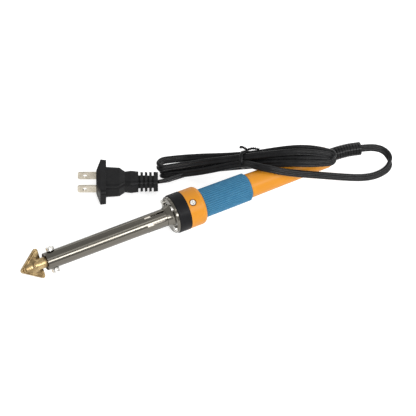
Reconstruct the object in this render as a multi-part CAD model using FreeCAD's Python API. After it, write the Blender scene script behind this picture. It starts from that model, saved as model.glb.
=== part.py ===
import FreeCAD, Part
import math
import os

# A mains soldering iron with a triangular brass tip, lying on its collar.
# Millimetres. The iron's axis runs along X, tip towards -X, cord towards +X.
# The origin is under the middle of the iron, on the surface it lies on.

V = FreeCAD.Vector

# --- driving dimensions -------------------------------------------------
SEAT_X = -3.7            # front face of the barrel flange
AXIS_Z = 14.0            # height of the iron's axis

BARREL_LENGTH = 97.2
BARREL_R = 6.4
BARREL_WALL = 0.5
VENT_COUNT = 6
VENT_WIDTH = 1.8
VENT_LENGTH = 15.5
VENT_REAR_GAP = 4.5      # from the vents' rear ends to the flange
VENT_TURN = -1.0         # roll of the first vent, degrees

STEM_R = 4.0
STEM_INSIDE = 45.0       # length of shank inside the barrel
PLATE_SIDE = 24.3        # between the corners before they are rounded
PLATE_CORNER_R = 1.8
PLATE_THICK = 2.4
PLATE_RIM = 0.6          # raised rim on the working face
PLATE_TILT = 23.3        # between the plate and the axis, degrees
PLATE_ROLL = 49.0        # roll of the plate's back, degrees
PLATE_AHEAD = 8.2        # plate's middle, ahead of the barrel's mouth

CLAMP_ROLLS = (143.0, -37.0)
CLAMP_SETBACK = 5.6      # clamp screws behind the barrel's mouth
CLAMP_SHANK_R = 1.4
CLAMP_HEAD_R = 3.0
CLAMP_HEAD_HEIGHT = 2.6
CLAMP_TIP_GAP = 0.1      # screw end to shank

BUSH_LENGTH = 10.0
FORMER_R_IN = 4.06
FORMER_R_OUT = 4.45
MICA_THICK = 0.2
WINDING_WIRE_R = 0.2
WINDING_TURNS = 22
FORMER_LENGTH = 66.0
INSULATOR_LENGTH = 5.0

FLANGE_R = 13.3
FLANGE_THICK = 2.0
FLANGE_HUB_R = 8.8
FLANGE_HUB_LENGTH = 4.0
FLANGE_SCREW_CIRCLE = 10.9
FLANGE_SCREW_ROLLS = (-70.0, 20.0, 110.0, 200.0)

RING_R = 14.0
RING_LENGTH = 9.1
SPIGOT_R = 11.0
SPIGOT_LENGTH = 8.0
WIRE_HOLE_R = 4.6

COLLAR_LENGTH = 13.1
COLLAR_R = 13.8
COLLAR_ROUND = 3.5
COLLAR_SCREW_ROLL = 27.6
COLLAR_SCREW_SETBACK = 4.0
COLLAR_SCREW_SEAT = 12.1  # radius of the screw head's seat
CORE_R = 8.4
GRIP_LENGTH = 37.5
GRIP_R_FRONT = 10.4
GRIP_R_REAR = 10.1
GRIP_CHAMFER = 1.5
TAIL_LENGTH = 64.3
TAIL_R_FRONT = 8.7
TAIL_R_REAR = 7.7
TAIL_ROUND = 3.0
HANDLE_BORE_R = 6.2
HANDLE_END_WALL = 10.0

BOOT_R = 4.75
BOOT_NECK_R = 3.6
BOOT_GROOVES = 10
BOOT_GROOVE_PITCH = 2.1
BOOT_GROOVE_DEPTH = 0.7

CORE_WIRE_R = 1.0
CORE_SPACING = 1.35      # half the distance between the cord's two wires
TERMINAL_SPACING = 3.0   # half the distance between the two terminals
TERMINAL_X = 62.0        # middle of the terminal block, from the flange
CLAMP_X = 94.0           # middle of the cord clamp, from the flange

CORD_R = 2.7             # half the flat cord's width
# Stations along the hank, chosen by hand: place of the middle, width across and height.
HANK_STATIONS = (
    ((16.3, 50.8, 6.2), 13.0, 11.5), ((38.5, 36.6, 9.0), 14.0, 10.0),
    ((65.2, 20.2, 18.5), 9.6, 9.0), ((91.8, 1.5, 28.2), 16.0, 9.0),
    ((106.0, -6.2, 28.2), 17.0, 9.0), ((118.3, -12.5, 26.5), 12.0, 8.5),
)
TIE_STATION = 2
TIE_TWIST_ENDS = ((76.0, 18.3, 26.5), (65.0, 26.1, 26.0))

PLUG_AT = (-33.0, 57.6, 7.3)  # middle of the plug's front face
PLUG_TURN = -26.5        # plug's direction from +X, degrees
BLADE_SPACING = 12.7
BLADE_WIDTH = 6.35
BLADE_THICK = 1.5
BLADE_OUT = 13.2
BLADE_HOLE_R = 1.6
BLADE_HOLE_SETBACK = 5.2   # from the blades' tips
PLUG_BODY_LENGTH = 29.8
PLUG_RELIEF_LENGTH = 13.9
PLUG_RELIEF_RIBS = 4

# The cord's route outside the hank, chosen by hand: iron to hank, then hank to plug.
LEAD_ROUTE = (
    (146.1, -2.3, 12.5), (151.6, -3.2, 11.6), (156.7, -4.6, 10.5), (160.6, -6.7, 9.3),
    (163.0, -9.7, 8.0), (163.9, -13.3, 6.6), (163.1, -16.9, 5.2), (160.7, -19.8, 4.0),
    (157.1, -21.6, 3.2), (151.6, -22.5, 2.8), (144.4, -22.7, 3.4), (135.2, -21.4, 5.6),
    (123.4, -19.0, 9.9), (108.6, -15.3, 15.3), (94.4, -11.0, 19.6), (82.6, -6.9, 23.4),
    (73.2, -1.0, 25.9), (67.0, 6.4, 24.6), (63.0, 13.6, 20.5),
)
TAIL_ROUTE = (
    (6.1, 38.1, 7.3), (12.2, 37.0, 6.4), (19.0, 38.4, 4.9), (26.2, 38.7, 4.2), (32.8, 37.9, 5.2),
)


# --- helpers ------------------------------------------------------------
def roll_direction(roll):
    """Unit vector at a roll angle from +Z towards -Y."""
    turn = math.radians(roll)
    return V(0, -math.sin(turn), math.cos(turn))


def at(x, radius=0.0, roll=0.0):
    """Point x behind the flange's front face, at a radius and roll about the axis."""
    return V(SEAT_X + x, 0, AXIS_Z) + roll_direction(roll) * radius


def rod(start, direction, radius, length):
    return Part.makeCylinder(radius, length, start, direction)


def axial_rod(x, radius, length):
    return rod(at(x), V(1, 0, 0), radius, length)


def tube(x, outer, inner, length):
    return axial_rod(x, outer, length).cut(axial_rod(x - 1, inner, length + 2))


def turned(profile):
    """Solid of revolution about the iron's axis from (x, radius) corners."""
    points = [V(SEAT_X + x, 0, AXIS_Z + radius) for x, radius in profile]
    face = Part.Face(Part.makePolygon(points + points[:1]))
    return face.revolve(V(0, 0, AXIS_Z), V(1, 0, 0), 360)


def round_edges(shape, radius, wanted):
    """Round the circular edges that pass the test."""
    edges = [edge for edge in shape.Edges if wanted(edge)]
    return shape.makeFillet(radius, edges)


def is_circle(edge, x, radius):
    box = edge.BoundBox
    flat = abs(box.XMin - SEAT_X - x) < 0.01 and box.XLength < 0.01
    return flat and abs(box.ZLength - 2 * radius) < 0.05


def block(centre, size):
    """Box along the axes, given by its centre and full sizes."""
    corner = centre - V(*size) * 0.5
    return Part.makeBox(size[0], size[1], size[2], corner)


def route_wire(points):
    """Straight runs joined by tangent arcs; also returns the arc radii."""
    corners = [V(*point) for point in points]
    edges = []
    radii = []
    start = corners[0]
    for before, corner, after in zip(corners, corners[1:], corners[2:]):
        run_in = corner - before
        run_out = after - corner
        reach = 0.45 * min(run_in.Length, run_out.Length)
        direction_in = run_in * (1 / run_in.Length)
        direction_out = run_out * (1 / run_out.Length)
        half_turn = direction_in.getAngle(direction_out) / 2
        radius = reach / math.tan(half_turn)
        inward = (direction_out - direction_in).normalize()
        sagitta = radius / math.cos(half_turn) - radius
        arc_start = corner - direction_in * reach
        arc_end = corner + direction_out * reach
        edges.append(Part.LineSegment(start, arc_start).toShape())
        edges.append(Part.Arc(arc_start, corner + inward * sagitta, arc_end).toShape())
        radii.append(radius)
        start = arc_end
    edges.append(Part.LineSegment(start, corners[-1]).toShape())
    return Part.Wire(edges), radii


def swept_rod(points, radius):
    """Round rod along a route of runs and arcs."""
    path, radii = route_wire(points)
    along = V(*points[1]) - V(*points[0])
    ring = Part.Wire(Part.Circle(V(*points[0]), along, radius).toShape())
    shape = path.makePipeShell([ring], True, False)
    print("radii", [round(value, 1) for value in radii], "length", round(path.Length, 1))
    print("volume ratio", round(shape.Volume / (math.pi * radius ** 2 * path.Length), 4))
    return shape


# --- tip ----------------------------------------------------------------
def plate_axes():
    """Middle of the plate's back, the apex direction, the side direction and the back's normal."""
    tilt = math.radians(PLATE_TILT)
    roll = roll_direction(PLATE_ROLL)
    side = roll_direction(PLATE_ROLL + 90)
    apex = V(-math.cos(tilt), 0, 0) + roll * math.sin(tilt)
    normal = V(math.sin(tilt), 0, 0) + roll * math.cos(tilt)
    return at(-BARREL_LENGTH - PLATE_AHEAD), apex, side, normal


def triangle_prism(inset, top, bottom):
    """Triangle with rounded corners, between two heights along the back's normal."""
    middle, apex, side, normal = plate_axes()
    corner_reach = (PLATE_SIDE - inset * 2 * math.sqrt(3)) / math.sqrt(3)
    corners = []
    for turn in (0, 120, 240):
        angle = math.radians(turn)
        reach = apex * math.cos(angle) + side * math.sin(angle)
        corners.append(middle + reach * corner_reach + normal * bottom)
    prism = Part.Face(Part.makePolygon(corners + corners[:1])).extrude(normal * (top - bottom))
    upright = [edge for edge in prism.Edges if abs(edge.Length - (top - bottom)) < 0.01]
    return prism.makeFillet(PLATE_CORNER_R, upright)


def tip_plate():
    plate = triangle_prism(0, 0, -PLATE_THICK)
    recess = triangle_prism(1.3, -PLATE_THICK + PLATE_RIM, -PLATE_THICK - 1)
    step = triangle_prism(-1, 0.5, -0.7).cut(triangle_prism(0.7, 0.6, -0.8))
    return plate.cut(recess).cut(step)


def tip_stem():
    middle, apex, side, normal = plate_axes()
    length = STEM_INSIDE + PLATE_AHEAD + 8
    shank = rod(at(-BARREL_LENGTH + STEM_INSIDE), V(-1, 0, 0), STEM_R, length)
    boss = Part.makeCone(STEM_R + 1.6, STEM_R - 0.4, 3.4, middle, normal)
    below = Part.makeCylinder(30, 30, middle - normal * 30, normal)
    end = round_edges(shank, 0.8, lambda edge: is_circle(edge, -BARREL_LENGTH + STEM_INSIDE, STEM_R))
    return end.fuse(boss).cut(below).removeSplitter()


# --- barrel and heater --------------------------------------------------
def barrel_tube():
    shape = tube(-BARREL_LENGTH, BARREL_R, BARREL_R - BARREL_WALL, BARREL_LENGTH + FLANGE_THICK)
    rear = -VENT_REAR_GAP
    front = rear - VENT_LENGTH
    half = VENT_WIDTH / 2
    for number in range(VENT_COUNT):
        roll = VENT_TURN + number * 360 / VENT_COUNT
        out = roll_direction(roll)
        cross = roll_direction(roll + 90)
        corner = at(front + half) - cross * half + out * 4
        length = VENT_LENGTH - VENT_WIDTH
        points = [corner, corner + cross * VENT_WIDTH]
        points += [points[1] + V(length, 0, 0), corner + V(length, 0, 0)]
        slot = Part.Face(Part.makePolygon(points + points[:1])).extrude(out * 4)
        for x in (front + half, rear - half):
            slot = slot.fuse(rod(at(x) + out * 4, out, half, 4))
        shape = shape.cut(slot)
    for roll in CLAMP_ROLLS:
        hole = rod(at(-BARREL_LENGTH + CLAMP_SETBACK), roll_direction(roll), CLAMP_SHANK_R + 0.06, 9)
        shape = shape.cut(hole)
    return shape


def clamp_screw(roll):
    """Slotted cheese-head screw, pointing at the shank."""
    out = roll_direction(roll)
    across = roll_direction(roll + 90)
    foot = at(-BARREL_LENGTH + CLAMP_SETBACK, STEM_R + CLAMP_TIP_GAP, roll)
    under_head = BARREL_R + 0.35 - STEM_R - CLAMP_TIP_GAP
    screw = rod(foot, out, CLAMP_SHANK_R, under_head + 0.5)
    head = rod(foot + out * under_head, out, CLAMP_HEAD_R, CLAMP_HEAD_HEIGHT)
    rim = [edge for edge in head.Edges if edge.Closed]
    rim.sort(key=lambda edge: edge.CenterOfMass.sub(foot).dot(out))
    head = head.makeFillet(0.4, rim[-1:])
    slot = Part.makeBox(0.8, 8, 2, V(-0.4, -4, 0))
    slot.Placement = FreeCAD.Placement(
        foot + out * (under_head + CLAMP_HEAD_HEIGHT - 1.0),
        FreeCAD.Rotation(V(1, 0, 0), across, out, "ZXY"),
    )
    return screw.fuse(head).cut(slot)


def front_bush():
    outer = BARREL_R - BARREL_WALL
    shape = tube(-BARREL_LENGTH + 1, outer, FORMER_R_IN, BUSH_LENGTH)
    for roll in CLAMP_ROLLS:
        hole = rod(at(-BARREL_LENGTH + CLAMP_SETBACK), roll_direction(roll), CLAMP_SHANK_R + 0.06, 9)
        shape = shape.cut(hole)
    return shape


def heater_former():
    return tube(-BARREL_LENGTH + 1 + BUSH_LENGTH, FORMER_R_OUT, FORMER_R_IN, FORMER_LENGTH)


def winding_radius():
    return FORMER_R_OUT + MICA_THICK + 0.02 + WINDING_WIRE_R


def mica_sleeve(inner):
    return tube(-BARREL_LENGTH + 3 + BUSH_LENGTH, inner + MICA_THICK, inner, FORMER_LENGTH - 6)


def heater_winding():
    """Turns of resistance wire wound round the inner mica."""
    first = -BARREL_LENGTH + BUSH_LENGTH + 8
    pitch = (FORMER_LENGTH - 16) / (WINDING_TURNS - 1)
    turns = []
    for number in range(WINDING_TURNS):
        centre = at(first + number * pitch)
        turns.append(Part.makeTorus(winding_radius(), WINDING_WIRE_R, centre, V(1, 0, 0)))
    return Part.makeCompound(turns)


def end_insulator():
    x = -BARREL_LENGTH + 1 + BUSH_LENGTH + FORMER_LENGTH
    shape = axial_rod(x, BARREL_R - BARREL_WALL - 0.05, INSULATOR_LENGTH)
    for sign in (-1, 1):
        centre = at(x - 1) + V(0, sign * TERMINAL_SPACING, 0)
        shape = shape.cut(rod(centre, V(1, 0, 0), 1.0, INSULATOR_LENGTH + 2))
    return shape


def lead_wires():
    first = -BARREL_LENGTH + 1 + BUSH_LENGTH + FORMER_LENGTH + 0.5
    length = TERMINAL_X - 7 - first
    starts = [at(first) + V(0, sign * TERMINAL_SPACING, 0) for sign in (-1, 1)]
    return Part.makeCompound([rod(start, V(1, 0, 0), 0.5, length) for start in starts])


def lead_sleeves():
    first = -BARREL_LENGTH + 1 + BUSH_LENGTH + FORMER_LENGTH + INSULATOR_LENGTH
    length = TERMINAL_X - 10 - first
    sleeves = []
    for sign in (-1, 1):
        start = at(first) + V(0, sign * TERMINAL_SPACING, 0)
        sleeve = rod(start, V(1, 0, 0), 1.3, length)
        sleeves.append(sleeve.cut(rod(start - V(1, 0, 0), V(1, 0, 0), 0.5, length + 2)))
    return Part.makeCompound(sleeves)


# --- flange and ring ----------------------------------------------------
def flange_screw_holes(shape, radius, x, length):
    for roll in FLANGE_SCREW_ROLLS:
        shape = shape.cut(rod(at(x, FLANGE_SCREW_CIRCLE, roll), V(1, 0, 0), radius, length))
    return shape


def barrel_flange():
    profile = [
        (-FLANGE_HUB_LENGTH, BARREL_R), (-FLANGE_HUB_LENGTH, BARREL_R + 0.4),
        (-2.0, BARREL_R + 1.0), (-0.7, BARREL_R + 1.6), (0, FLANGE_HUB_R),
        (0, FLANGE_R - 0.6), (0.6, FLANGE_R), (FLANGE_THICK, FLANGE_R), (FLANGE_THICK, BARREL_R),
    ]
    return flange_screw_holes(turned(profile), 1.25, -1, FLANGE_THICK + 2)


def flange_screws():
    screws = []
    for roll in FLANGE_SCREW_ROLLS:
        foot = at(7.0, FLANGE_SCREW_CIRCLE, roll)
        screw = rod(foot, V(-1, 0, 0), 1.1, 7.5)
        head = rod(at(0, FLANGE_SCREW_CIRCLE, roll), V(-1, 0, 0), 2.0, 1.3)
        slot = block(at(-1.3, FLANGE_SCREW_CIRCLE, roll), (1.2, 5, 0.6))
        screws.append(screw.fuse(head).cut(slot))
    return Part.makeCompound(screws)


def insulating_ring():
    profile = [
        (FLANGE_THICK, WIRE_HOLE_R), (FLANGE_THICK, RING_R - 0.5), (FLANGE_THICK + 0.5, RING_R),
        (FLANGE_THICK + RING_LENGTH - 0.3, RING_R), (FLANGE_THICK + RING_LENGTH, RING_R - 0.3),
        (FLANGE_THICK + RING_LENGTH, SPIGOT_R),
        (FLANGE_THICK + RING_LENGTH + SPIGOT_LENGTH, SPIGOT_R),
        (FLANGE_THICK + RING_LENGTH + SPIGOT_LENGTH, WIRE_HOLE_R),
    ]
    shape = flange_screw_holes(turned(profile), 1.1, FLANGE_THICK - 1, 6)
    pilot = rod(collar_screw_foot(), roll_direction(COLLAR_SCREW_ROLL), 1.4, 12)
    return shape.cut(pilot)


# --- handle -------------------------------------------------------------
def collar_start():
    return FLANGE_THICK + RING_LENGTH


def grip_start():
    return collar_start() + COLLAR_LENGTH


def tail_start():
    return grip_start() + GRIP_LENGTH


def handle_end():
    return tail_start() + TAIL_LENGTH


def handle_body():
    front = collar_start()
    end = handle_end()
    bore_end = end - HANDLE_END_WALL
    profile = [
        (front, SPIGOT_R), (front, COLLAR_R), (grip_start(), COLLAR_R), (grip_start(), CORE_R),
        (tail_start(), CORE_R), (tail_start(), TAIL_R_FRONT), (end, TAIL_R_REAR),
        (end, BOOT_NECK_R), (bore_end, BOOT_NECK_R), (bore_end, HANDLE_BORE_R),
        (front + SPIGOT_LENGTH, HANDLE_BORE_R), (front + SPIGOT_LENGTH, SPIGOT_R),
    ]
    shape = turned(profile)
    shape = round_edges(shape, COLLAR_ROUND, lambda edge: is_circle(edge, grip_start(), COLLAR_R))
    shape = round_edges(shape, TAIL_ROUND, lambda edge: is_circle(edge, end, TAIL_R_REAR))
    seat = collar_screw_foot() + roll_direction(COLLAR_SCREW_ROLL) * (COLLAR_SCREW_SEAT - 8.0)
    shape = shape.cut(rod(seat, roll_direction(COLLAR_SCREW_ROLL), 2.6, 6))
    return shape.cut(rod(collar_screw_foot(), roll_direction(COLLAR_SCREW_ROLL), 1.4, 12))


def collar_screw_foot():
    return at(collar_start() + COLLAR_SCREW_SETBACK, 8.0, COLLAR_SCREW_ROLL)


def collar_screw():
    out = roll_direction(COLLAR_SCREW_ROLL)
    foot = collar_screw_foot()
    screw = rod(foot, out, 1.4, COLLAR_SCREW_SEAT - 7.5)
    head = Part.makeCone(2.45, 1.9, 1.5, foot + out * (COLLAR_SCREW_SEAT - 8.0), out)
    shape = screw.fuse(head)
    top = foot + out * (COLLAR_SCREW_SEAT - 8.0 + 1.5)
    across = roll_direction(COLLAR_SCREW_ROLL + 90)
    for direction in (V(1, 0, 0), across):
        other = across if direction.x else V(1, 0, 0)
        corner = top - direction * 1.5 - other * 0.3 - out * 0.9
        points = [corner, corner + direction * 3, corner + direction * 3 + other * 0.6]
        points.append(corner + other * 0.6)
        arm = Part.Face(Part.makePolygon(points + points[:1])).extrude(out * 2)
        shape = shape.cut(arm)
    return shape


def grip_sleeve():
    start = grip_start()
    end = tail_start()
    profile = [
        (start, CORE_R), (start, GRIP_R_FRONT), (end - GRIP_CHAMFER, GRIP_R_REAR),
        (end, GRIP_R_REAR - GRIP_CHAMFER * 0.8), (end, CORE_R),
    ]
    return turned(profile)


def terminal_block():
    """Two-way connector block with a wire hole and two screw holes for each way."""
    shape = block(at(TERMINAL_X), (18, 10, 6.4))
    for sign in (-1, 1):
        way = at(TERMINAL_X) + V(-10, sign * TERMINAL_SPACING, 0)
        shape = shape.cut(rod(way, V(1, 0, 0), 1.1, 20))
        for offset in (-5, 5):
            top = at(TERMINAL_X + offset) + V(0, sign * TERMINAL_SPACING, 0)
            shape = shape.cut(rod(top, V(0, 0, 1), 1.25, 5))
    return shape


def terminal_screws():
    screws = []
    for offset in (-5, 5):
        for sign in (-1, 1):
            foot = at(TERMINAL_X + offset) + V(0, sign * TERMINAL_SPACING, 1.1)
            screw = rod(foot, V(0, 0, 1), 1.25, 2.6)
            slot = block(foot + V(0, 0, 2.6), (0.4, 3, 1.2))
            screws.append(screw.cut(slot))
    return Part.makeCompound(screws)


def cord_cores():
    """The cord's two insulated wires, spreading from the boot to the terminals."""
    wires = []
    for sign in (-1, 1):
        end = at(TERMINAL_X + 2)
        route = (
            (end.x, sign * TERMINAL_SPACING, AXIS_Z),
            (end.x + 12, sign * TERMINAL_SPACING, AXIS_Z),
            (end.x + 24, sign * CORE_SPACING, AXIS_Z),
            (end.x + 48, sign * CORE_SPACING, AXIS_Z),
        )
        wires.append(swept_rod(route, CORE_WIRE_R))
    return Part.makeCompound(wires)


def cord_clamp():
    """Two-part strap round the wires, held by two screws."""
    shape = block(at(CLAMP_X), (7, 10.4, 5.0))
    slot = block(at(CLAMP_X), (9, CORE_SPACING * 2 + 2 * CORE_WIRE_R + 0.1, 2 * CORE_WIRE_R + 0.1))
    shape = shape.cut(slot)
    for sign in (-1, 1):
        start = at(CLAMP_X) + V(0, sign * 3.8, -4)
        shape = shape.cut(rod(start, V(0, 0, 1), 0.9, 8))
    return shape


def cord_clamp_screws():
    screws = []
    for sign in (-1, 1):
        start = at(CLAMP_X) + V(0, sign * 3.8, -2.5)
        shank = rod(start, V(0, 0, 1), 0.9, 5.0)
        head = rod(start + V(0, 0, 5.0), V(0, 0, 1), 1.3, 0.9)
        screws.append(shank.fuse(head))
    return Part.makeCompound(screws)


# --- boot, cord, plug ---------------------------------------------------
def boot_route():
    end = handle_end()
    tip = LEAD_ROUTE[0]
    return (
        (SEAT_X + end, 0, AXIS_Z), (SEAT_X + end + 7, -0.05, AXIS_Z - 0.02),
        (SEAT_X + end + 15.5, -0.8, AXIS_Z - 0.4), tip,
    )


def strain_relief():
    """Grooved boot with a neck through the handle's rear wall and a flange inside it."""
    end = handle_end()
    path, radii = route_wire(boot_route())
    body = swept_rod(boot_route(), BOOT_R)
    for number in range(BOOT_GROOVES):
        along = 3.0 + number * BOOT_GROOVE_PITCH
        share = along / path.Length
        edge_length = 0.0
        for edge in path.Edges:
            if edge_length + edge.Length >= share * path.Length:
                value = edge.getParameterByLength(along - edge_length)
                centre = edge.valueAt(value)
                direction = edge.tangentAt(value)
                break
            edge_length += edge.Length
        start = centre - direction * 0.45
        groove = rod(start, direction, BOOT_R + 1, 0.9)
        groove = groove.cut(rod(start - direction, direction, BOOT_R - BOOT_GROOVE_DEPTH, 3))
        body = body.cut(groove)
    neck = axial_rod(end - HANDLE_END_WALL - 2, BOOT_NECK_R, HANDLE_END_WALL + 2.5)
    inner = axial_rod(end - HANDLE_END_WALL - 2, HANDLE_BORE_R - 0.5, 2.0)
    shape = body.fuse(neck).fuse(inner).removeSplitter()
    hole = axial_rod(end - HANDLE_END_WALL - 3, CORE_SPACING + CORE_WIRE_R + 0.05, 9)
    return shape.cut(hole)


def cord_lead():
    return swept_rod(LEAD_ROUTE, CORD_R)


def cord_tail():
    return swept_rod(TAIL_ROUTE, CORD_R)


def hank_directions(number):
    """Place, direction, across and up at one of the hank's stations."""
    places = [V(*place) for place, width, height in HANK_STATIONS]
    before = places[max(number - 1, 0)]
    after = places[min(number + 1, len(places) - 1)]
    along = (after - before).normalize()
    across = V(0, 0, 1).cross(along).normalize()
    return places[number], along, across, along.cross(across)


def cord_hank():
    """Outer shape of the tied hank, as a loft through oval sections."""
    sections = []
    for number, (place, width, height) in enumerate(HANK_STATIONS):
        centre, along, across, up = hank_directions(number)
        oval = Part.Ellipse(centre + across * (width / 2), centre + up * (height / 2), centre)
        sections.append(Part.Wire(oval.toShape()))
    return Part.makeLoft(sections, True)


def twist_tie():
    """Ring of flat wire strip round the hank, with its two ends."""
    centre, along, across, up = hank_directions(TIE_STATION)
    radius = HANK_STATIONS[TIE_STATION][1] / 2
    ring = rod(centre - along * 1.2, along, radius + 0.9, 2.4)
    ring = ring.cut(rod(centre - along * 2, along, radius + 0.05, 4))
    root = centre + up * (radius + 0.5)
    for end in TIE_TWIST_ENDS:
        reach = V(*end) - root
        ring = ring.fuse(rod(root, reach, 0.7, reach.Length))
    return ring


def plug_place(shape):
    """Move a shape from the plug's own frame, front face at the origin, facing -X."""
    shape.Placement = FreeCAD.Placement(V(*PLUG_AT), FreeCAD.Rotation(V(0, 0, 1), PLUG_TURN))
    return shape


def plug_section(x, width, height, corner):
    """Rounded rectangle across the plug's axis, as a wire."""
    half_w = width / 2
    half_h = height / 2
    box = Part.makeBox(1, width, height, V(x, -half_w, -half_h))
    edges = [edge for edge in box.Edges if abs(edge.Length - 1) < 1e-6]
    box = box.makeFillet(corner, edges)
    faces = [face for face in box.Faces if abs(face.CenterOfMass.x - x) < 1e-6]
    return faces[0].OuterWire


def plug_body():
    lofts = (
        ((0, 15.0, 12.0, 3.0), (3.0, 33.8, 14.5, 3.0)),
        ((3.0, 33.8, 14.5, 3.0), (7.0, 33.0, 14.0, 3.0)),
        ((7.0, 21.2, 12.4, 3.0), (16.4, 20.0, 12.0, 3.0)),
        ((16.4, 20.0, 12.0, 3.0), (20.4, 13.4, 11.0, 3.0)),
        ((20.4, 13.4, 11.0, 3.0), (24.5, 14.4, 11.4, 3.0)),
        ((24.5, 14.4, 11.4, 3.0), (PLUG_BODY_LENGTH, 13.2, 11.0, 3.0)),
        ((PLUG_BODY_LENGTH, 8.6, 7.4, 2.5),
         (PLUG_BODY_LENGTH + PLUG_RELIEF_LENGTH, 8.0, 7.2, 2.5)),
    )
    shape = None
    for first, second in lofts:
        part = Part.makeLoft([plug_section(*first), plug_section(*second)], True, True)
        shape = part if shape is None else shape.fuse(part)
    for number in range(PLUG_RELIEF_RIBS):
        x = PLUG_BODY_LENGTH + 1.5 + number * 3.1
        width = 3.1 if number == PLUG_RELIEF_RIBS - 1 else 1.8
        rib = Part.makeLoft([plug_section(x, 12.6, 10.8, 3.0),
                             plug_section(x + width, 12.2, 10.4, 3.0)], True, True)
        shape = shape.fuse(rib)
    for part in blade_blanks() + [bridge_blank()]:
        shape = shape.cut(part)
    return plug_place(shape.removeSplitter())


def blade_blanks():
    """Both blades in the plug's own frame, standing on edge."""
    blades = []
    for sign in (-1, 1):
        y = sign * BLADE_SPACING / 2 - BLADE_THICK / 2
        corner = V(-BLADE_OUT, y, -BLADE_WIDTH / 2)
        blade = Part.makeBox(BLADE_OUT + 12, BLADE_THICK, BLADE_WIDTH, corner)
        ends = [edge for edge in blade.Edges
                if abs(edge.Length - BLADE_THICK) < 1e-6 and edge.CenterOfMass.x < -BLADE_OUT + 0.1]
        blades.append(blade.makeChamfer(1.1, ends))
    return blades


def plug_blades():
    blades = []
    for blade in blade_blanks():
        y = blade.BoundBox.YMin - 1
        hole = rod(V(-BLADE_OUT + BLADE_HOLE_SETBACK, y, 0), V(0, 1, 0), BLADE_HOLE_R, BLADE_THICK + 2)
        blades.append(plug_place(blade.cut(hole)))
    return Part.makeCompound(blades)


def bridge_blank():
    shape = Part.makeBox(4, 17, 8.0, V(5, -8.5, -4.0))
    for blade in blade_blanks():
        shape = shape.cut(blade)
    return shape


def plug_bridge():
    return plug_place(bridge_blank())


# --- export -------------------------------------------------------------
def main():
    os.makedirs("parts", exist_ok=True)
    inner_mica = FORMER_R_OUT
    outer_mica = winding_radius() + WINDING_WIRE_R + 0.02
    nodes = {
        "tip_plate": tip_plate(),
        "tip_stem": tip_stem(),
        "barrel_tube": barrel_tube(),
        "clamp_screw_lower": clamp_screw(CLAMP_ROLLS[0]),
        "clamp_screw_upper": clamp_screw(CLAMP_ROLLS[1]),
        "front_bush": front_bush(),
        "heater_former": heater_former(),
        "mica_inner": mica_sleeve(inner_mica),
        "heater_winding": heater_winding(),
        "mica_outer": mica_sleeve(outer_mica),
        "end_insulator": end_insulator(),
        "lead_wires": lead_wires(),
        "lead_sleeves": lead_sleeves(),
        "barrel_flange": barrel_flange(),
        "flange_screws": flange_screws(),
        "insulating_ring": insulating_ring(),
        "handle_body": handle_body(),
        "collar_screw": collar_screw(),
        "grip_sleeve": grip_sleeve(),
        "terminal_block": terminal_block(),
        "terminal_screws": terminal_screws(),
        "cord_cores": cord_cores(),
        "cord_clamp": cord_clamp(),
        "cord_clamp_screws": cord_clamp_screws(),
        "strain_relief": strain_relief(),
        "cord_lead": cord_lead(),
        "cord_hank": cord_hank(),
        "cord_tail": cord_tail(),
        "twist_tie": twist_tie(),
        "plug_body": plug_body(),
        "plug_blades": plug_blades(),
        "plug_bridge": plug_bridge(),
    }
    for name, shape in nodes.items():
        box = shape.BoundBox
        print(name, shape.isValid(), len(shape.Solids), round(shape.Volume, 1),
              [round(v, 2) for v in (box.XMin, box.XMax, box.YMin, box.YMax, box.ZMin, box.ZMax)])
        shape.exportStep("parts/" + name + ".step")


main()
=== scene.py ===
import math

import bmesh
import bpy
from bpy.props import (
    FloatProperty, FloatVectorProperty, IntProperty, PointerProperty,
)
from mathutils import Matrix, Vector


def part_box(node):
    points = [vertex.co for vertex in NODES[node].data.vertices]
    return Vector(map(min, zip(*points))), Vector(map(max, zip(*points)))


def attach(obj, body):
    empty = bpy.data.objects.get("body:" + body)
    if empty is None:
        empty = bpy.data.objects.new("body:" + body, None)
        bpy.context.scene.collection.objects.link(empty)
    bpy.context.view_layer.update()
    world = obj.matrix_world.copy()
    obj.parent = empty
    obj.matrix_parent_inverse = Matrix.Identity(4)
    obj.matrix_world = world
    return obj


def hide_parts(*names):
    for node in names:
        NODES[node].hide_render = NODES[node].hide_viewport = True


bl_info = {
    "name": "Glasswork Soldering Iron",
    "version": (1, 0, 0),
    "blender": (4, 5, 0),
    "location": "View3D > Sidebar > Soldering Iron",
    "description": "Cord, grip and finishes for a soldering iron with a triangular brass tip",
    "category": "Object",
}

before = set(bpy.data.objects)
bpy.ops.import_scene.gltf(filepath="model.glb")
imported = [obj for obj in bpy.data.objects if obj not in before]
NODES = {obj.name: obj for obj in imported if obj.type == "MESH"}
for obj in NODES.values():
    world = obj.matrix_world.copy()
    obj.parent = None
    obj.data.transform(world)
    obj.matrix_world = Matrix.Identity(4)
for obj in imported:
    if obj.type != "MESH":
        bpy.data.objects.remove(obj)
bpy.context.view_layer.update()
MM = 0.001

RING_LOW, RING_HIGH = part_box("insulating_ring")
AXIS_HEIGHT = (RING_LOW.z + RING_HIGH.z) / 2
GRIP_LOW, GRIP_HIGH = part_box("grip_sleeve")

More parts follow.
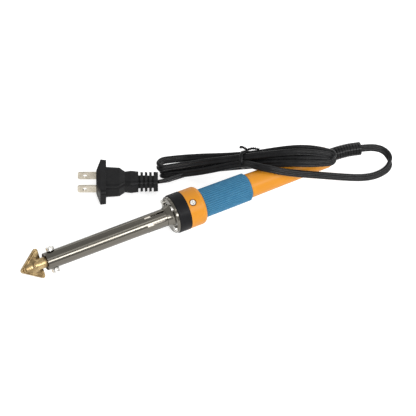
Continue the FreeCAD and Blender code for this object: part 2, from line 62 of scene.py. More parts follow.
# The cord's route outside the hank: iron to hank, then plug to hank.
LEAD_ROUTE = (
    (0.1461, -0.0023, 0.0125), (0.1516, -0.0032, 0.0116), (0.1567, -0.0046, 0.0105),
    (0.1606, -0.0067, 0.0093), (0.1630, -0.0097, 0.0080), (0.1639, -0.0133, 0.0066),
    (0.1631, -0.0169, 0.0052), (0.1607, -0.0198, 0.0040), (0.1571, -0.0216, 0.0032),
    (0.1516, -0.0225, 0.0028), (0.1444, -0.0227, 0.0034), (0.1352, -0.0214, 0.0056),
    (0.1234, -0.0190, 0.0099), (0.1086, -0.0153, 0.0153), (0.0944, -0.0110, 0.0196),
    (0.0826, -0.0069, 0.0234), (0.0732, -0.0010, 0.0259), (0.0670, 0.0064, 0.0246),
)
TAIL_ROUTE = (
    (0.0061, 0.0381, 0.0073), (0.0122, 0.0370, 0.0064), (0.0190, 0.0384, 0.0049),
    (0.0262, 0.0387, 0.0042), (0.0328, 0.0379, 0.0052),
)
# Middle of the hank at its stations, from its free end to its end over the handle.
HANK_STATIONS = (
    (0.0163, 0.0508, 0.0062), (0.0385, 0.0366, 0.0090), (0.0652, 0.0202, 0.0185),
    (0.0918, 0.0015, 0.0282), (0.1060, -0.0062, 0.0282), (0.1183, -0.0125, 0.0265),
)
TIE_STATION = 2
# Direction that the flat cord's wide side leans to along most of its length.
FLAT_SIDE = Vector((0.33, 0.66, 0.68))
# The same at the plug: over the last TWIST_LENGTH the cord turns from one to the other.
EDGE_SIDE = Vector((-0.31, -0.60, 0.74))
TWIST_LENGTH = 0.045
# Where the tie's ends leave its neck, and the tip of each end.
TWIST_KNOT = (0.0690, 0.0215, 0.0256)
TWIST_ENDS = ((0.0760, 0.0173, 0.0268), (0.0648, 0.0254, 0.0266))
# The hank's five runs: station, then offset across, upwards and along in millimetres.
# An offset along shapes a fold, or moves a point of a run towards or away from one.
HANK_RUNS = (
    (2, -3.2, 0.6, 0), (1, -4.2, -1.6, 0), (0, -6.4, -2.2, 2.5),
    (0, -6.2, -2.4, 0.4), (0, -4.8, -2.4, -0.8), (0, -3.4, -2.4, 0.4),
    (0, -3.2, -2.2, 2.5), (1, -0.4, -2.2, 0), (2, 0.9, -2.6, 0), (3, -2.4, -1.6, 0),
    (4, -2.4, -1.4, 0), (5, -1.8, -1.0, -2), (5, -1.4, -0.6, 0.2), (5, 0.8, 0.4, 0.4),
    (5, 1.4, 0.8, -2), (4, 1.8, 1.4, 0), (3, 1.8, 1.6, 0), (2, -0.2, 2.6, 0),
    (1, 1.8, 1.8, 0), (0, -4.4, 2.2, 1.5), (0, -4.0, 2.2, -1.2), (0, -0.6, 2.0, -3.4),
    (0, 3.4, 1.8, -1.2), (0, 4.8, 1.6, 2.5), (1, 7.8, 1.6, -4), (2, 3.1, 0.8, 0),
    (3, 6.0, 0.8, 0), (4, 6.2, 0.9, 0), (5, 4.0, 0.9, -2), (5, 3.2, 0.7, 0.6),
    (5, 0.0, 0.0, 2.0), (5, -3.2, -0.7, 0.4), (5, -4.2, -1.2, -2), (4, -6.2, -1.6, 0),
    (3, -5.8, -1.8, 0), (2, -2.7, -3.0, 0), (1, 0.8, -4.4, 0),
)
# Points on the cord's line for each of its control points.
CORD_STEPS = 10
# A core's outline ends and the web begins this far out, as a share of the core's offset.
LOBE_START = 0.35

# Half sizes of the tie's loop, across the hank and upwards.
TIE_HALF_ACROSS = 6.2 * MM
TIE_HALF_UP = 6.4 * MM
# How far the loop leans along the hank, and how far each twisted end bows upwards.
TIE_LEAN = 0.6 * MM
END_BOW = 1.2 * MM
LOOP_STEPS = 40
NECK_STEPS = 6
END_STEPS = 24
STRIP_SIDES = 12
# Thickness of the neck and of a twisted end, as shares of the strip's.
NECK_THICKENING = 1.6
END_THICKENING = 1.1

LATHE_STEPS = 128
RIB_SIDES = 10
# The sleeve's skin lies this share of a rib's radius below its outside.
RIB_STAND = 0.95
RIB_INSET = 0.5 * MM
FRONT_LIP = 0.35 * MM
# The rear edge's middle (forwards, inwards) and its end (inwards), as shares of the chamfer.
EDGE_MIDDLE = (0.4, 0.35)
EDGE_END = 0.9
RIB_SHARP_ANGLE = 50.0

# The middle part of a noise's values, which remap spreads over its whole range.
NOISE_LOW = 0.32
NOISE_HIGH = 0.68

AIM_AT = Vector((0.0235, -0.0059, AXIS_HEIGHT))
FLOOR_REACH = 3.0
SKY_STRENGTH = 0.66
# Each light's name, place, size and power.
LIGHTS = (
    ("strip", (0.32, -0.92, 0.68), (2.4, 0.24), 19.0),
    ("side", (0.9, 0.7, 0.9), (0.8, 0.8), 4.0),
    ("band_top", (0.32, -0.45, 1.15), (2.4, 0.22), 2.6),
    ("band_back", (0.3, 1.2, 0.5), (2.4, 0.3), 2.0),
)


# --- properties -----------------------------------------------------------
def colour(name, text, value):
    return FloatVectorProperty(
        name=name, description=text, default=value, size=3, subtype="COLOR", min=0, max=1)


def length(name, text, value):
    return FloatProperty(name=name, description=text, default=value, min=0, unit="LENGTH")


class IronColours(bpy.types.PropertyGroup):
    brass: colour("Brass", "Colour of the tip", (0.47, 0.35, 0.18))
    brass_shade: colour("Brass Shade", "Colour of the tip's heat marks", (0.12, 0.07, 0.03))
    chrome: colour("Plating", "Colour of the barrel and flange", (0.165, 0.154, 0.133))
    black: colour("Ring", "Colour of the heat-resisting ring", (0.005, 0.005, 0.006))
    orange: colour("Handle", "Colour of the moulded handle", (0.53, 0.205, 0.012))
    blue: colour("Grip", "Colour of the ribbed sleeve", (0.026, 0.130, 0.235))
    cord: colour("Cord", "Colour of the cord, boot and plug", (0.005, 0.005, 0.0055))
    nickel: colour("Blades", "Colour of the plug's blades", (0.60, 0.55, 0.46))
    floor: colour("Floor", "Colour of the floor", (0.60, 0.60, 0.60))


class CordSizes(bpy.types.PropertyGroup):
    width: length("Width", "Width of the flat twin cord", 5.2 * MM)
    thickness: length("Thickness", "Thickness over each of the cord's two cores", 2.8 * MM)
    waist: length("Waist", "Thickness of the web between the cores", 1.9 * MM)


class GripSizes(bpy.types.PropertyGroup):
    ribs: IntProperty(name="Ribs", description="Ribs round the sleeve", default=40, min=8)
    rib_radius: length("Rib Radius", "Radius of one rib", 0.55 * MM)
    taper: length("Taper", "How much thinner the sleeve is at its rear", 0.30 * MM)
    chamfer: length("Chamfer", "Chamfer at the sleeve's rear edge", 1.5 * MM)
    bore: length("Bore", "Radius of the handle inside the sleeve", 8.4 * MM)


class TieSizes(bpy.types.PropertyGroup):
    strip: length("Strip Width", "Width of the coated wire strip", 2.4 * MM)
    thickness: length("Strip Thickness", "Thickness of the strip", 0.8 * MM)
    turns: IntProperty(name="Twists", description="Half turns in the twist", default=7, min=1)


class StageSizes(bpy.types.PropertyGroup):
    azimuth: FloatProperty(name="Azimuth", description="Camera's bearing", default=-26.9)
    elevation: FloatProperty(name="Elevation", description="Camera's height angle", default=47.5)
    distance: length("Distance", "Camera's distance from the iron", 4.883)
    lens: FloatProperty(name="Lens", description="Focal length in mm", default=600.0, min=1)
    floor_glow: FloatProperty(
        name="Floor Glow", description="Light given off by the floor", default=0.68)


# --- shader node groups ---------------------------------------------------
def new_group(name, inputs, outputs):
    """A shader group with (name, socket type, default) inputs and (name, type) outputs."""
    group = bpy.data.node_groups.new(name, "ShaderNodeTree")
    for label, kind, value in inputs:
        socket = group.interface.new_socket(label, in_out="INPUT", socket_type=kind)
        if value is not None:
            socket.default_value = value
    for label, kind in outputs:
        group.interface.new_socket(label, in_out="OUTPUT", socket_type=kind)
    start = group.nodes.new("NodeGroupInput")
    end = group.nodes.new("NodeGroupOutput")
    return group, start, end


def noise_in(group, vector, scale, detail):
    node = group.nodes.new("ShaderNodeTexNoise")
    node.inputs["Detail"].default_value = detail
    group.links.new(vector, node.inputs["Vector"])
    group.links.new(scale, node.inputs["Scale"])
    return node


def remap(group, value, low, high):
    """Map the middle of a noise value onto low and high, which are numbers or sockets."""
    node = group.nodes.new("ShaderNodeMapRange")
    node.inputs["From Min"].default_value = NOISE_LOW
    node.inputs["From Max"].default_value = NOISE_HIGH
    group.links.new(value, node.inputs["Value"])
    for name, target in (("To Min", low), ("To Max", high)):
        if isinstance(target, (int, float)):
            node.inputs[name].default_value = target
        else:
            group.links.new(target, node.inputs[name])
    return node.outputs["Result"]


def tone_group():
    """Blotches of a second tone over a base colour."""
    group, start, end = new_group(
        "Tone Blotches",
        (("Vector", "NodeSocketVector", None), ("Base", "NodeSocketColor", None),
         ("Shade", "NodeSocketColor", None), ("Scale", "NodeSocketFloat", 120.0),
         ("Amount", "NodeSocketFloat", 0.3)),
        (("Color", "NodeSocketColor"), ("Mask", "NodeSocketFloat")))
    noise = noise_in(group, start.outputs["Vector"], start.outputs["Scale"], 5.0)
    mask = remap(group, noise.outputs["Fac"], 0.0, start.outputs["Amount"])
    mix = group.nodes.new("ShaderNodeMix")
    mix.data_type = "RGBA"
    group.links.new(mask, mix.inputs["Factor"])
    group.links.new(start.outputs["Base"], mix.inputs["A"])
    group.links.new(start.outputs["Shade"], mix.inputs["B"])
    group.links.new(mix.outputs["Result"], end.inputs["Color"])
    group.links.new(mask, end.inputs["Mask"])
    return group


def gloss_group():
    """Handling marks: roughness that drifts between two values."""
    group, start, end = new_group(
        "Handling Marks",
        (("Vector", "NodeSocketVector", None), ("Scale", "NodeSocketFloat", 90.0),
         ("Low", "NodeSocketFloat", 0.3), ("High", "NodeSocketFloat", 0.5)),
        (("Roughness", "NodeSocketFloat"),))
    noise = noise_in(group, start.outputs["Vector"], start.outputs["Scale"], 6.0)
    value = remap(group, noise.outputs["Fac"], start.outputs["Low"], start.outputs["High"])
    group.links.new(value, end.inputs["Roughness"])
    return group


def grain_group():
    """Fine surface grain from two noises, as a height."""
    group, start, end = new_group(
        "Surface Grain",
        (("Vector", "NodeSocketVector", None), ("Fine Scale", "NodeSocketFloat", 2500.0),
         ("Broad Scale", "NodeSocketFloat", 300.0), ("Broad Share", "NodeSocketFloat", 0.4)),
        (("Height", "NodeSocketFloat"),))
    fine = noise_in(group, start.outputs["Vector"], start.outputs["Fine Scale"], 2.0)
    broad = noise_in(group, start.outputs["Vector"], start.outputs["Broad Scale"], 3.0)
    mix = group.nodes.new("ShaderNodeMix")
    group.links.new(start.outputs["Broad Share"], mix.inputs["Factor"])
    group.links.new(fine.outputs["Fac"], mix.inputs["A"])
    group.links.new(broad.outputs["Fac"], mix.inputs["B"])
    group.links.new(mix.outputs["Result"], end.inputs["Height"])
    return group


GROUPS = {}


def shared_group(name):
    makers = {"tone": tone_group, "gloss": gloss_group, "grain": grain_group}
    if name not in GROUPS:
        GROUPS[name] = makers[name]()
    return GROUPS[name]


# --- materials ------------------------------------------------------------
def use_group(tree, name, vector, values):
    node = tree.nodes.new("ShaderNodeGroup")
    node.node_tree = shared_group(name)
    tree.links.new(vector, node.inputs["Vector"])
    for label, value in values.items():
        node.inputs[label].default_value = value
    return node


def finish_material(name, base, shade, tone, rough, grain, metallic=0.0, stretch=(1, 1, 1), **fixed):
    """A procedural material: tone is (scale, amount), rough is (scale, low, high) and
    grain is (fine scale, broad scale, broad share, bump strength, bump distance)."""
    material = bpy.data.materials.new(name)
    material.use_nodes = True
    tree = material.node_tree
    shader = tree.nodes["Principled BSDF"]
    shader.inputs["Metallic"].default_value = metallic
    for label, value in fixed.items():
        shader.inputs[label.replace("_", " ")].default_value = value
    place = tree.nodes.new("ShaderNodeTexCoord")
    mapping = tree.nodes.new("ShaderNodeMapping")
    mapping.inputs["Scale"].default_value = stretch
    tree.links.new(place.outputs["Object"], mapping.inputs["Vector"])
    vector = mapping.outputs["Vector"]
    tones = use_group(tree, "tone", vector, {
        "Base": (*base, 1), "Shade": (*shade, 1), "Scale": tone[0], "Amount": tone[1]})
    tree.links.new(tones.outputs["Color"], shader.inputs["Base Color"])
    marks = use_group(tree, "gloss", vector, {
        "Scale": rough[0], "Low": rough[1], "High": rough[2]})
    tree.links.new(marks.outputs["Roughness"], shader.inputs["Roughness"])
    height = use_group(tree, "grain", vector, {
        "Fine Scale": grain[0], "Broad Scale": grain[1], "Broad Share": grain[2]})
    bump = tree.nodes.new("ShaderNodeBump")
    bump.inputs["Strength"].default_value = grain[3]
    bump.inputs["Distance"].default_value = grain[4]
    tree.links.new(height.outputs["Height"], bump.inputs["Height"])
    tree.links.new(bump.outputs["Normal"], shader.inputs["Normal"])
    return material


def dimmed(base, share):
    return tuple(value * share for value in base)


# Every maker below takes the user's colours, though some finishes have fixed ones.
def brass_finish(colours):
    return finish_material(
        "Heat Marked Brass", colours.brass, colours.brass_shade, (160.0, 0.75), (220.0, 0.22, 0.46),
        (1800.0, 260.0, 0.5, 0.35, 0.0004), metallic=1.0)


def chrome_finish(colours):
    return finish_material(
        "Bright Plating", colours.chrome, dimmed(colours.chrome, 0.62), (60.0, 0.6), (120.0, 0.10, 0.22),
        (2200.0, 180.0, 0.6, 0.06, 0.0002), metallic=1.0, stretch=(0.25, 1, 1))


def screw_finish(colours):
    return finish_material(
        "Zinc Screws", (0.70, 0.69, 0.66), (0.34, 0.32, 0.29), (400.0, 0.5), (500.0, 0.16, 0.34),
        (3000.0, 700.0, 0.4, 0.15, 0.0002), metallic=1.0)


def dark_steel_finish(colours):
    return finish_material(
        "Heat Tinted Steel", (0.40, 0.37, 0.33), (0.16, 0.11, 0.08), (150.0, 0.7),
        (200.0, 0.3, 0.5), (2000.0, 300.0, 0.4, 0.2, 0.0003), metallic=1.0)


def ring_finish(colours):
    return finish_material(
        "Phenolic Ring", colours.black, (0.010, 0.010, 0.011), (240.0, 0.6), (150.0, 0.36, 0.54),
        (2600.0, 380.0, 0.3, 0.10, 0.0003), Specular_IOR_Level=0.10)


def orange_finish(colours):
    return finish_material(
        "Moulded Orange", colours.orange, dimmed(colours.orange, 0.72), (45.0, 0.35), (80.0, 0.34, 0.46),
        (1500.0, 120.0, 0.55, 0.05, 0.0005), Specular_IOR_Level=0.22)


def blue_finish(colours):
    return finish_material(
        "Ribbed Grip", colours.blue, (0.045, 0.17, 0.28), (260.0, 0.55), (240.0, 0.46, 0.66),
        (2800.0, 420.0, 0.4, 0.30, 0.0003), Specular_IOR_Level=0.20)


def cord_finish(colours):
    return finish_material(
        "Cord Jacket", colours.cord, (0.011, 0.011, 0.0115), (180.0, 0.7), (220.0, 0.20, 0.32),
        (2400.0, 320.0, 0.5, 0.10, 0.0003), Specular_IOR_Level=0.17)


def plug_finish(colours):
    return finish_material(
        "Moulded Plug", colours.cord, (0.010, 0.010, 0.0105), (130.0, 0.7), (160.0, 0.34, 0.50),
        (3000.0, 500.0, 0.3, 0.22, 0.0003), Specular_IOR_Level=0.12)


def nickel_finish(colours):
    return finish_material(
        "Nickel Blades", colours.nickel, (0.36, 0.32, 0.25), (300.0, 0.6), (400.0, 0.20, 0.40),
        (2600.0, 400.0, 0.4, 0.15, 0.0002), metallic=1.0)


def ceramic_finish(colours):
    return finish_material(
        "Ceramic", (0.80, 0.76, 0.68), (0.62, 0.55, 0.46), (200.0, 0.5), (200.0, 0.5, 0.7),
        (2200.0, 400.0, 0.4, 0.2, 0.0003))


def mica_finish(colours):
    return finish_material(
        "Mica", (0.55, 0.46, 0.33), (0.35, 0.27, 0.17), (300.0, 0.6), (250.0, 0.25, 0.45),
        (1800.0, 500.0, 0.5, 0.2, 0.0003))


def core_finish(colours):
    return finish_material(
        "Core Insulation", (0.62, 0.62, 0.59), (0.45, 0.44, 0.41), (250.0, 0.5),
        (220.0, 0.4, 0.6), (2400.0, 300.0, 0.4, 0.1, 0.0003))


FINISHES = {
    "brass": (brass_finish, ("tip_plate", "tip_stem")),
    "chrome": (chrome_finish, ("barrel_tube", "barrel_flange")),
    "screw": (screw_finish, (
        "clamp_screw_upper", "clamp_screw_lower", "flange_screws", "collar_screw",
        "terminal_screws", "cord_clamp_screws")),
    "dark_steel": (dark_steel_finish, (
        "front_bush", "heater_former", "heater_winding", "lead_wires")),
    "ring": (ring_finish, ("insulating_ring",)),
    "orange": (orange_finish, ("handle_body",)),
    "blue": (blue_finish, ("grip_sleeve",)),
    "cord": (cord_finish, ("strain_relief", "cord_lead", "cord_hank", "cord_tail", "twist_tie")),
    "plug": (plug_finish, ("plug_body", "plug_bridge", "cord_clamp")),
    "nickel": (nickel_finish, ("plug_blades",)),
    "ceramic": (ceramic_finish, ("end_insulator", "terminal_block", "lead_sleeves")),
    "mica": (mica_finish, ("mica_inner", "mica_outer")),
    "core": (core_finish, ("cord_cores",)),
}
MADE = {}


def finish_named(name):
    if name not in MADE:
        maker = FINISHES[name][0]
        MADE[name] = maker(bpy.context.scene.iron_colours)
    return MADE[name]


# --- mesh helpers ---------------------------------------------------------
def add_object(name, data):
    piece = bpy.data.objects.new(name, data)
    bpy.context.scene.collection.objects.link(piece)
    return piece


def mesh_object(name, corners, faces, material, smooth_angle=40.0):
    mesh = bpy.data.meshes.new(name)
    mesh.from_pydata([tuple(corner) for corner in corners], [], faces)
    mesh.materials.append(material)
    shape = bmesh.new()
    shape.from_mesh(mesh)
    bmesh.ops.remove_doubles(shape, verts=shape.verts, dist=1e-7)
    bmesh.ops.recalc_face_normals(shape, faces=shape.faces)
    shape.to_mesh(mesh)
    shape.free()
    mesh.shade_smooth()
    mesh.set_sharp_from_angle(angle=math.radians(smooth_angle))
    return add_object(name, mesh)


def rings_mesh(rings):
    """Corners and faces of a closed tube through rings of equal size, with flat ends."""
    size = len(rings[0])
    corners = [corner for ring in rings for corner in ring]
    faces = []
    for number in range(len(rings) - 1):
        first = number * size
        for step in range(size):
            after = (step + 1) % size
            faces.append((first + step, first + after, first + size + after, first + size + step))
    faces.append(tuple(range(size)))
    faces.append(tuple(range(len(corners) - size, len(corners))))
    return corners, faces


def lathe_mesh(profile, steps):
    """Corners and faces of a closed (x, radius) profile turned about the iron's axis."""
    corners = []
    for number in range(steps):
        turn = 2 * math.pi * number / steps
        for x, radius in profile:
            corners.append((x, -radius * math.sin(turn), AXIS_HEIGHT + radius * math.cos(turn)))
    size = len(profile)
    faces = []
    for number in range(steps):
        first = number * size
        after = ((number + 1) % steps) * size
        for step in range(size):
            other = (step + 1) % size
            faces.append((first + step, first + other, after + other, after + step))
    return corners, faces


def spline_points(name, route, resolution):
    """Points along the smooth line that has the route's points as its controls."""
    data = bpy.data.curves.new(name, "CURVE")
    data.dimensions = "3D"
    data.resolution_u = resolution
    line = data.splines.new("NURBS")
    line.points.add(len(route) - 1)
    for point, place in zip(line.points, route):
        point.co = (*place, 1)
    line.order_u = 3
    line.use_endpoint_u = True
    guide = add_object(name, data)
    bpy.context.view_layer.update()
    graph = bpy.context.evaluated_depsgraph_get()
    mesh = bpy.data.meshes.new_from_object(guide.evaluated_get(graph))
    points = [corner.co.copy() for corner in mesh.vertices]
    bpy.data.objects.remove(guide)
    bpy.data.meshes.remove(mesh)
    return points


def tangents_of(points):
    last = len(points) - 1
    return [(points[min(i + 1, last)] - points[max(i - 1, 0)]).normalized()
            for i in range(len(points))]


# --- cord -----------------------------------------------------------------
def hank_directions(number):
    places = [Vector(place) for place in HANK_STATIONS]
    before = places[max(number - 1, 0)]
    after = places[min(number + 1, len(places) - 1)]
    along = (after - before).normalized()
    across = Vector((0, 0, 1)).cross(along).normalized()
    return places[number], along, across, along.cross(across)


def hank_point(station, across_mm, up_mm, along_mm):
    """A control point of one run."""
    place, along, across, up = hank_directions(station)
    return place + (along * along_mm + across * across_mm + up * up_mm) * MM


def cord_route():
    route = [Vector(place) for place in LEAD_ROUTE]
    route += [hank_point(*run) for run in HANK_RUNS]
    route += [Vector(place) for place in reversed(TAIL_ROUTE)]
    return route


def twin_section(sizes, steps=12):
    """(across, out) places round a twin cord's section, a lobe for each core."""
    lobe = sizes.thickness / 2
    centre = sizes.width / 2 - lobe
    waist = sizes.waist / 2
    outer = []
    for number in range(steps + 1):
        turn = math.pi * number / steps
        across = centre + lobe * math.cos(turn)
        if across > centre * LOBE_START:
            outer.append((across, lobe * math.sin(turn)))
    top = outer + [(0.0, waist)] + [(-across, out) for across, out in reversed(outer)]
    return top + [(across, -out) for across, out in reversed(top[1:-1])]


def lengths_left(points):
    """Length of the line from each of its points to its last one."""
    left = [0.0]
    for after, place in zip(points[:0:-1], points[-2::-1]):
        left.append(left[-1] + (after - place).length)
    return left[::-1]


class IRON_OT_cord(bpy.types.Operator):
    """Lay the flat twin cord from the boot through its hank to the plug"""
    bl_idname = "iron.cord"
    bl_label = "Cord"

    def execute(self, context):
        sizes = context.scene.iron_cord
        points = spline_points("cord_guide", cord_route(), CORD_STEPS)
        section = twin_section(sizes)
        rings = []
        remaining = lengths_left(points)
        for place, along, left in zip(points, tangents_of(points), remaining):
            share = max(0.0, 1 - left / TWIST_LENGTH)
            leaning = FLAT_SIDE.lerp(EDGE_SIDE, share)
            wide = (leaning - along * along.dot(leaning)).normalized()
            side = along.cross(wide)
            rings.append([place + wide * across + side * out for across, out in section])
        corners, faces = rings_mesh(rings)
        piece = mesh_object("cord", corners, faces, finish_named("cord"), smooth_angle=75.0)
        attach(piece, "iron")
        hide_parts("cord_lead", "cord_hank", "cord_tail")
        return {"FINISHED"}


# --- twist tie ------------------------------------------------------------
def strip_mesh(points, sides, width, thickness):
    """A flat strip along points, its width towards each point's own side."""
    rings = []
    for place, along, side in zip(points, tangents_of(points), sides):
        across = (side - along * along.dot(side)).normalized()
        thin = along.cross(across)
        ring = []
        for step in range(STRIP_SIDES):
            turn = 2 * math.pi * step / STRIP_SIDES
            ring.append(place + across * (width / 2 * math.cos(turn))
                        + thin * (thickness / 2 * math.sin(turn)))
        rings.append(ring)
    return rings_mesh(rings)


def twisted_end(knot, tip, up, sizes):
    """A free end of the tie, spun about the line from its knot to its tip."""
    reach = tip - knot
    side = reach.cross(up).normalized()
    stem = []
    sides = []
    for number in range(END_STEPS + 1):
        share = number / END_STEPS
        stem.append(knot + reach * share + up * (END_BOW * math.sin(math.pi * share)))
        turn = math.pi * sizes.turns * share
        sides.append(side * math.cos(turn) + up * math.sin(turn))
    return strip_mesh(stem, sides, sizes.strip, sizes.thickness * END_THICKENING)


def join_meshes(parts):
    """Corners and faces of several meshes as one."""
    corners = []
    faces = []
    for more, more_faces in parts:
        first = len(corners)
        corners += more
        faces += [tuple(first + number for number in face) for face in more_faces]
    return corners, faces


class IRON_OT_tie(bpy.types.Operator):
    """Wrap the twist tie round the hank and twist its ends"""
    bl_idname = "iron.tie"
    bl_label = "Twist Tie"

    def execute(self, context):
        sizes = context.scene.iron_tie
        centre, along, across, up = hank_directions(TIE_STATION)
        loop = []
        for number in range(LOOP_STEPS + 1):
            turn = 2 * math.pi * number / LOOP_STEPS
            lean = along * (TIE_LEAN * math.sin(turn))
            loop.append(centre + lean + up * (TIE_HALF_UP * math.cos(turn))
                        + across * (TIE_HALF_ACROSS * math.sin(turn)))
        root = centre + up * TIE_HALF_UP
        knot = Vector(TWIST_KNOT)
        neck = [root + (knot - root) * (number / NECK_STEPS) for number in range(NECK_STEPS + 1)]
        corners, faces = join_meshes((
            strip_mesh(loop, [along] * len(loop), sizes.strip, sizes.thickness),
            strip_mesh(neck, [across] * len(neck), sizes.strip, sizes.thickness * NECK_THICKENING),
            *(twisted_end(knot, Vector(tip), up, sizes) for tip in TWIST_ENDS)))
        piece = mesh_object("tie", corners, faces, finish_named("cord"), smooth_angle=60.0)
        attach(piece, "iron")
        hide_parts("twist_tie")
        return {"FINISHED"}


# --- grip -----------------------------------------------------------------
def rib_tree():
    """Geometry nodes: ribs along the sleeve, spaced evenly round the iron's axis."""
    tree = bpy.data.node_groups.new("Grip Ribs", "GeometryNodeTree")
    face = tree.interface
    face.new_socket("Geometry", in_out="INPUT", socket_type="NodeSocketGeometry")
    face.new_socket("Count", in_out="INPUT", socket_type="NodeSocketInt")
    for name in ("Front", "Rear", "Axis"):
        face.new_socket(name, in_out="INPUT", socket_type="NodeSocketVector")
    face.new_socket("Rib Radius", in_out="INPUT", socket_type="NodeSocketFloat")
    face.new_socket("Material", in_out="INPUT", socket_type="NodeSocketMaterial")
    face.new_socket("Geometry", in_out="OUTPUT", socket_type="NodeSocketGeometry")
    new = tree.nodes.new
    link = tree.links.new
    start = new("NodeGroupInput")
    end = new("NodeGroupOutput")
    line = new("GeometryNodeCurvePrimitiveLine")
    link(start.outputs["Front"], line.inputs["Start"])
    link(start.outputs["Rear"], line.inputs["End"])
    ring = new("GeometryNodeCurvePrimitiveCircle")
    ring.inputs["Resolution"].default_value = RIB_SIDES
    link(start.outputs["Rib Radius"], ring.inputs["Radius"])
    rib = new("GeometryNodeCurveToMesh")
    rib.inputs["Fill Caps"].default_value = True
    link(line.outputs["Curve"], rib.inputs["Curve"])
    link(ring.outputs["Curve"], rib.inputs["Profile Curve"])
    points = new("GeometryNodePoints")
    link(start.outputs["Count"], points.inputs["Count"])
    index = new("GeometryNodeInputIndex")
    share = new("ShaderNodeMath")
    share.operation = "DIVIDE"
    link(index.outputs["Index"], share.inputs[0])
    link(start.outputs["Count"], share.inputs[1])
    turn = new("ShaderNodeMath")
    turn.operation = "MULTIPLY"
    turn.inputs[1].default_value = 2 * math.pi
    link(share.outputs["Value"], turn.inputs[0])
    roll = new("ShaderNodeCombineXYZ")
    link(turn.outputs["Value"], roll.inputs["X"])
    copies = new("GeometryNodeInstanceOnPoints")
    link(points.outputs["Points"], copies.inputs["Points"])
    link(rib.outputs["Mesh"], copies.inputs["Instance"])
    link(roll.outputs["Vector"], copies.inputs["Rotation"])
    place = new("GeometryNodeTransform")
    link(copies.outputs["Instances"], place.inputs["Geometry"])
    link(start.outputs["Axis"], place.inputs["Translation"])
    join = new("GeometryNodeJoinGeometry")
    link(place.outputs["Geometry"], join.inputs["Geometry"])
    link(start.outputs["Geometry"], join.inputs["Geometry"])
    real = new("GeometryNodeRealizeInstances")
    link(join.outputs["Geometry"], real.inputs["Geometry"])
    paint = new("GeometryNodeSetMaterial")
    link(real.outputs["Geometry"], paint.inputs["Geometry"])
    link(start.outputs["Material"], paint.inputs["Material"])
    link(paint.outputs["Geometry"], end.inputs["Geometry"])
    return tree


def apply_tree(piece, tree, values):
    """Run the tree on a piece, with inputs set by name, and keep the result as its mesh."""
    modifier = piece.modifiers.new("Nodes", "NODES")
    modifier.node_group = tree
    for item in tree.interface.items_tree:
        if item.in_out == "INPUT" and item.name in values:
            modifier[item.identifier] = values[item.name]
    bpy.context.view_layer.update()
    graph = bpy.context.evaluated_depsgraph_get()
    mesh = bpy.data.meshes.new_from_object(piece.evaluated_get(graph))
    piece.modifiers.remove(modifier)
    piece.data = mesh


class IRON_OT_grip(bpy.types.Operator):
    """Make the ribbed grip sleeve"""
    bl_idname = "iron.grip"
    bl_label = "Grip"

    def execute(self, context):
        sizes = context.scene.iron_grip
        front = GRIP_LOW.x
        rear = GRIP_HIGH.x
        outer = (GRIP_HIGH.z - GRIP_LOW.z) / 2
        skin = outer - sizes.rib_radius * RIB_STAND
        rear_skin = skin - sizes.taper
        edge = sizes.chamfer
        forwards, inwards = EDGE_MIDDLE
        profile = (
            (front, sizes.bore), (front, skin - FRONT_LIP), (front + FRONT_LIP, skin),
            (rear - edge, rear_skin), (rear - edge * forwards, rear_skin - edge * inwards),
            (rear, rear_skin - edge * EDGE_END), (rear, sizes.bore))
        corners, faces = lathe_mesh(profile, LATHE_STEPS)
        material = finish_named("blue")
        piece = mesh_object("grip", corners, faces, material, smooth_angle=30.0)
        rib_front = Vector((front + RIB_INSET, 0, skin))
        rib_rear = Vector((rear - edge, 0, rear_skin))
        apply_tree(piece, rib_tree(), {
            "Count": sizes.ribs, "Front": rib_front, "Rear": rib_rear,
            "Axis": Vector((0, 0, AXIS_HEIGHT)), "Rib Radius": sizes.rib_radius,
            "Material": material})
        piece.data.shade_smooth()
        piece.data.set_sharp_from_angle(angle=math.radians(RIB_SHARP_ANGLE))
        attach(piece, "iron")
        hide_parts("grip_sleeve")
        return {"FINISHED"}


# --- finishes on the carried-over nodes -----------------------------------
class IRON_OT_finishes(bpy.types.Operator):
    """Give every carried-over part its material"""
    bl_idname = "iron.finishes"
    bl_label = "Finishes"

    def execute(self, context):
        for name, (_, nodes) in FINISHES.items():
            for node in nodes:
                mesh = NODES[node].data
                mesh.materials.clear()
                mesh.materials.append(finish_named(name))
        return {"FINISHED"}


# --- stage ----------------------------------------------------------------
def direction(azimuth, elevation):
    """Unit vector towards a bearing and a height angle in degrees, from -Y towards +X."""
    bearing = math.radians(azimuth)
    height = math.radians(elevation)
    level = math.cos(height)
    return Vector((math.sin(bearing) * level, -math.cos(bearing) * level, math.sin(height)))


def aim(thing, target):
    thing.rotation_mode = "QUATERNION"
    thing.rotation_quaternion = (target - thing.location).to_track_quat("-Z", "Y")


def area_light(name, place, size, power):
    data = bpy.data.lights.new(name, "AREA")
    data.shape = "RECTANGLE"
    data.size, data.size_y = size
    data.energy = power
    lamp = add_object(name, data)
    lamp.location = place
    aim(lamp, AIM_AT)


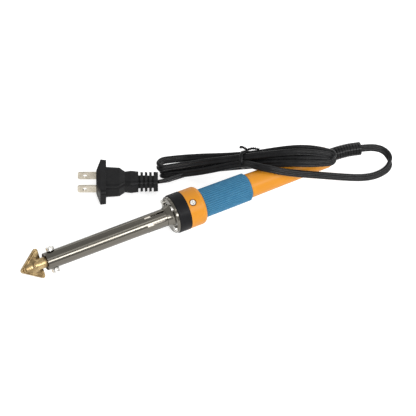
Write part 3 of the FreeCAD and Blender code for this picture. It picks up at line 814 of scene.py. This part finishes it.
class IRON_OT_stage(bpy.types.Operator):
    """Set the camera, floor and studio lights"""
    bl_idname = "iron.stage"
    bl_label = "Stage"

    def execute(self, context):
        sizes = context.scene.iron_stage
        data = bpy.data.cameras.new("camera")
        data.lens = sizes.lens
        camera = add_object("camera", data)
        camera.location = AIM_AT + direction(sizes.azimuth, sizes.elevation) * sizes.distance
        aim(camera, AIM_AT)
        context.scene.camera = camera
        corners = [(x * FLOOR_REACH, y * FLOOR_REACH, 0) for x, y in
                   ((-1, -1), (1, -1), (1, 1), (-1, 1))]
        colours = context.scene.iron_colours
        paper = finish_material(
            "Pale Paper", colours.floor, dimmed(colours.floor, 0.985), (6.0, 0.5),
            (10.0, 0.75, 0.9), (900.0, 60.0, 0.5, 0.02, 0.0002), Specular_IOR_Level=0.0,
            Emission_Color=(1, 1, 1, 1), Emission_Strength=sizes.floor_glow)
        floor = mesh_object("floor", corners, [(0, 1, 2, 3)], paper)
        for light in LIGHTS:
            area_light(*light)
        world = bpy.data.worlds.new("studio")
        world.use_nodes = True
        sky = world.node_tree.nodes["Background"]
        sky.inputs["Color"].default_value = (1, 1, 1, 1)
        sky.inputs["Strength"].default_value = SKY_STRENGTH
        context.scene.world = world
        context.scene.view_settings.view_transform = "Standard"
        return {"FINISHED"}


# --- panel and registration -----------------------------------------------
OPERATORS = (IRON_OT_stage, IRON_OT_tie, IRON_OT_cord, IRON_OT_grip, IRON_OT_finishes)


class IRON_PT_panel(bpy.types.Panel):
    """Sidebar panel that lists the iron's pieces"""
    bl_idname = "IRON_PT_panel"
    bl_label = "Soldering Iron"
    bl_space_type = "VIEW_3D"
    bl_region_type = "UI"
    bl_category = "Soldering Iron"

    def draw(self, context):
        for operator in OPERATORS:
            self.layout.operator(operator.bl_idname)
        for group, _ in GROUPS_OF_SETTINGS:
            settings = getattr(context.scene, group)
            box = self.layout.box()
            for name in settings.bl_rna.properties.keys():
                if name not in ("rna_type", "name"):
                    box.prop(settings, name)


GROUPS_OF_SETTINGS = (
    ("iron_colours", IronColours), ("iron_cord", CordSizes), ("iron_grip", GripSizes),
    ("iron_tie", TieSizes), ("iron_stage", StageSizes),
)


def register():
    for name, kind in GROUPS_OF_SETTINGS:
        bpy.utils.register_class(kind)
        setattr(bpy.types.Scene, name, PointerProperty(type=kind))
    for kind in (*OPERATORS, IRON_PT_panel):
        bpy.utils.register_class(kind)


def unregister():
    for kind in reversed((*OPERATORS, IRON_PT_panel)):
        bpy.utils.unregister_class(kind)
    for name, kind in reversed(GROUPS_OF_SETTINGS):
        delattr(bpy.types.Scene, name)
        bpy.utils.unregister_class(kind)


def main():
    register()
    bpy.ops.iron.stage()
    bpy.ops.iron.tie()
    bpy.ops.iron.cord()
    bpy.ops.iron.grip()
    bpy.ops.iron.finishes()


if __name__ == "__main__":
    main()
